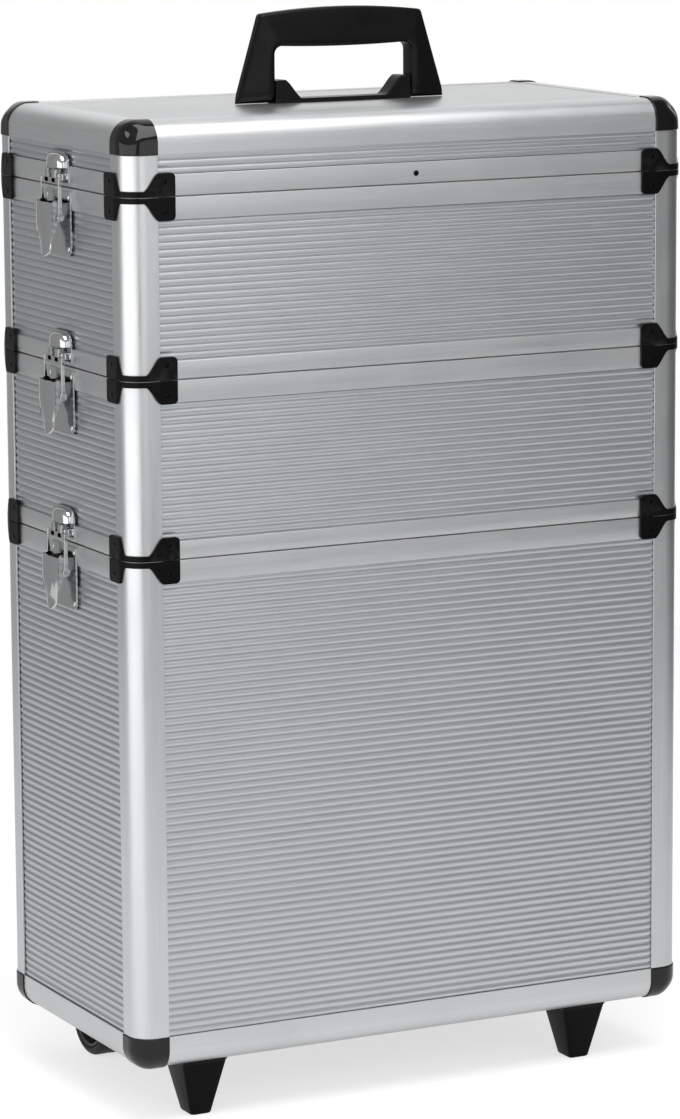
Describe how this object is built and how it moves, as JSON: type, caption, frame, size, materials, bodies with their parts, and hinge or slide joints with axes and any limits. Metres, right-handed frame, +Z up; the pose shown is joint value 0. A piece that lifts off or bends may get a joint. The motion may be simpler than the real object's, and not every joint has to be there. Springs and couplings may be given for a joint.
{
  "type": "rolling aluminium case",
  "caption": "Tall stacked trolley case with ribbed aluminium walls, rounded profiles, draw latches, a folding carry handle, wheels and a telescopic pull handle.",
  "frame": {"origin": "on the floor, below the middle of the whole outline, pull handle included", "axes": "+Z up, +X to the right seen from the front, -Y to the front"},
  "size_m": [0.4874, 0.2654, 0.81],
  "materials": {
    "profile_aluminium": "satin anodised extrusion",
    "ribbed_aluminium": "ribbed sheet, satin",
    "smooth_aluminium": "smooth sheet, satin",
    "chrome": "polished plate",
    "gloss_black": "smooth moulded, glossy",
    "satin_black": "fine grained moulding",
    "wheel_black": "hard moulded, slightly worn",
    "axle_steel": "bright drawn",
    "button_grey": "fine grained moulding",
    "floor_board": "black lined board"
  },
  "bodies": {
    "lower_case": {"lower_wide_panels": "ribbed_aluminium", "lower_narrow_panels": "ribbed_aluminium", "lower_floor": "floor_board", "lower_corner_posts": "profile_aluminium", "lower_rails": "profile_aluminium", "lower_edge_profiles": "profile_aluminium", "lower_corner_caps": "gloss_black", "lower_brackets": "satin_black", "lower_latch_bases": "chrome", "feet": "satin_black", "wheel_housings": "satin_black", "wheel_axles": "axle_steel", "pull_outer_tubes": "profile_aluminium", "pull_brackets": "satin_black"},
    "middle_case": {"middle_wide_panels": "ribbed_aluminium", "middle_narrow_panels": "ribbed_aluminium", "middle_floor": "floor_board", "middle_corner_posts": "profile_aluminium", "middle_rails": "profile_aluminium", "middle_brackets": "satin_black", "middle_latch_bases": "chrome", "middle_keepers": "chrome"},
    "upper_case": {"upper_wide_panels": "ribbed_aluminium", "upper_narrow_panels": "ribbed_aluminium", "upper_floor": "floor_board", "upper_corner_posts": "profile_aluminium", "upper_rails": "profile_aluminium", "upper_brackets": "satin_black", "upper_latch_bases": "chrome", "upper_keepers": "chrome"},
    "lid": {"lid_top_panel": "smooth_aluminium", "lid_wide_panels": "ribbed_aluminium", "lid_narrow_panels": "ribbed_aluminium", "lid_edge_profiles": "profile_aluminium", "lid_corner_posts": "profile_aluminium", "lid_rails": "profile_aluminium", "lid_corner_caps": "gloss_black", "lid_brackets": "satin_black", "lid_keepers": "chrome", "handle_base": "gloss_black", "handle_pins": "axle_steel"},
    "carry_handle": {"handle_grip": "gloss_black"},
    "left_wheel": {"left_wheel": "wheel_black"},
    "right_wheel": {"right_wheel": "wheel_black"},
    "pull_middle": {"pull_middle_tubes": "profile_aluminium"},
    "pull_handle": {"pull_inner_tubes": "profile_aluminium", "pull_grip": "satin_black"},
    "pull_button": {"pull_button": "button_grey"},
    "top_left_lever": {"top_left_lever": "chrome"},
    "top_left_hook": {"top_left_hook": "chrome"},
    "top_right_lever": {"top_right_lever": "chrome"},
    "top_right_hook": {"top_right_hook": "chrome"},
    "middle_left_lever": {"middle_left_lever": "chrome"},
    "middle_left_hook": {"middle_left_hook": "chrome"},
    "middle_right_lever": {"middle_right_lever": "chrome"},
    "middle_right_hook": {"middle_right_hook": "chrome"},
    "bottom_left_lever": {"bottom_left_lever": "chrome"},
    "bottom_left_hook": {"bottom_left_hook": "chrome"},
    "bottom_right_lever": {"bottom_right_lever": "chrome"},
    "bottom_right_hook": {"bottom_right_hook": "chrome"}
  },
  "joints": [
    {"name": "middle_case_lift", "type": "slide", "parent": "lower_case", "child": "middle_case", "axis": [0, 0, 1], "range_m": [0, 0.12]},
    {"name": "upper_case_lift", "type": "slide", "parent": "middle_case", "child": "upper_case", "axis": [0, 0, 1], "range_m": [0, 0.12]},
    {"name": "lid_lift", "type": "slide", "parent": "upper_case", "child": "lid", "axis": [0, 0, 1], "range_m": [0, 0.12]},
    {"name": "carry_handle_fold", "type": "hinge", "parent": "lid", "child": "carry_handle", "pos_m": [0, -0.0113, 0.7495], "axis": [1, 0, 0], "range_deg": [-88, 88]},
    {"name": "top_left_lever_swing", "type": "hinge", "parent": "upper_case", "child": "top_left_lever", "pos_m": [-0.2375, -0.0113, 0.6734], "axis": [0, 1, 0], "range_deg": [0, 130]},
    {"name": "top_left_hook_swing", "type": "hinge", "parent": "top_left_lever", "child": "top_left_hook", "pos_m": [-0.23622, -0.0113, 0.66429], "axis": [0, 1, 0], "range_deg": [-150, 0]},
    {"name": "top_right_lever_swing", "type": "hinge", "parent": "upper_case", "child": "top_right_lever", "pos_m": [0.2375, -0.0113, 0.6734], "axis": [0, -1, 0], "range_deg": [0, 130]},
    {"name": "top_right_hook_swing", "type": "hinge", "parent": "top_right_lever", "child": "top_right_hook", "pos_m": [0.23622, -0.0113, 0.66429], "axis": [0, -1, 0], "range_deg": [-150, 0]},
    {"name": "middle_left_lever_swing", "type": "hinge", "parent": "middle_case", "child": "middle_left_lever", "pos_m": [-0.2375, -0.0113, 0.542], "axis": [0, 1, 0], "range_deg": [0, 130]},
    {"name": "middle_left_hook_swing", "type": "hinge", "parent": "middle_left_lever", "child": "middle_left_hook", "pos_m": [-0.23622, -0.0113, 0.53289], "axis": [0, 1, 0], "range_deg": [-150, 0]},
    {"name": "middle_right_lever_swing", "type": "hinge", "parent": "middle_case", "child": "middle_right_lever", "pos_m": [0.2375, -0.0113, 0.542], "axis": [0, -1, 0], "range_deg": [0, 130]},
    {"name": "middle_right_hook_swing", "type": "hinge", "parent": "middle_right_lever", "child": "middle_right_hook", "pos_m": [0.23622, -0.0113, 0.53289], "axis": [0, -1, 0], "range_deg": [-150, 0]},
    {"name": "bottom_left_lever_swing", "type": "hinge", "parent": "lower_case", "child": "bottom_left_lever", "pos_m": [-0.2375, -0.0113, 0.4114], "axis": [0, 1, 0], "range_deg": [0, 130]},
    {"name": "bottom_left_hook_swing", "type": "hinge", "parent": "bottom_left_lever", "child": "bottom_left_hook", "pos_m": [-0.23622, -0.0113, 0.40229], "axis": [0, 1, 0], "range_deg": [-150, 0]},
    {"name": "bottom_right_lever_swing", "type": "hinge", "parent": "lower_case", "child": "bottom_right_lever", "pos_m": [0.2375, -0.0113, 0.4114], "axis": [0, -1, 0], "range_deg": [0, 130]},
    {"name": "bottom_right_hook_swing", "type": "hinge", "parent": "bottom_right_lever", "child": "bottom_right_hook", "pos_m": [0.23622, -0.0113, 0.40229], "axis": [0, -1, 0], "range_deg": [-150, 0]},
    {"name": "left_wheel_spin", "type": "hinge", "parent": "lower_case", "child": "left_wheel", "pos_m": [-0.165, 0.0822, 0.031], "axis": [1, 0, 0], "continuous": true},
    {"name": "right_wheel_spin", "type": "hinge", "parent": "lower_case", "child": "right_wheel", "pos_m": [0.165, 0.0822, 0.031], "axis": [1, 0, 0], "continuous": true},
    {"name": "pull_middle_slide", "type": "slide", "parent": "lower_case", "child": "pull_middle", "axis": [0, 0, 1], "range_m": [0, 0.3]},
    {"name": "pull_handle_slide", "type": "slide", "parent": "pull_middle", "child": "pull_handle", "axis": [0, 0, 1], "range_m": [0, 0.28]},
    {"name": "pull_button_press", "type": "slide", "parent": "pull_handle", "child": "pull_button", "axis": [0, 0, -1], "range_m": [0, 0.003], "stiffness_N_per_m": 300, "springref_m": -0.002}
  ],
  "couplings": [
    {"joint": "top_left_hook_swing", "follows": "top_left_lever_swing", "ratio": -1.15},
    {"joint": "top_right_hook_swing", "follows": "top_right_lever_swing", "ratio": -1.15},
    {"joint": "middle_left_hook_swing", "follows": "middle_left_lever_swing", "ratio": -1.15},
    {"joint": "middle_right_hook_swing", "follows": "middle_right_lever_swing", "ratio": -1.15},
    {"joint": "bottom_left_hook_swing", "follows": "bottom_left_lever_swing", "ratio": -1.15},
    {"joint": "bottom_right_hook_swing", "follows": "bottom_right_lever_swing", "ratio": -1.15}
  ]
}
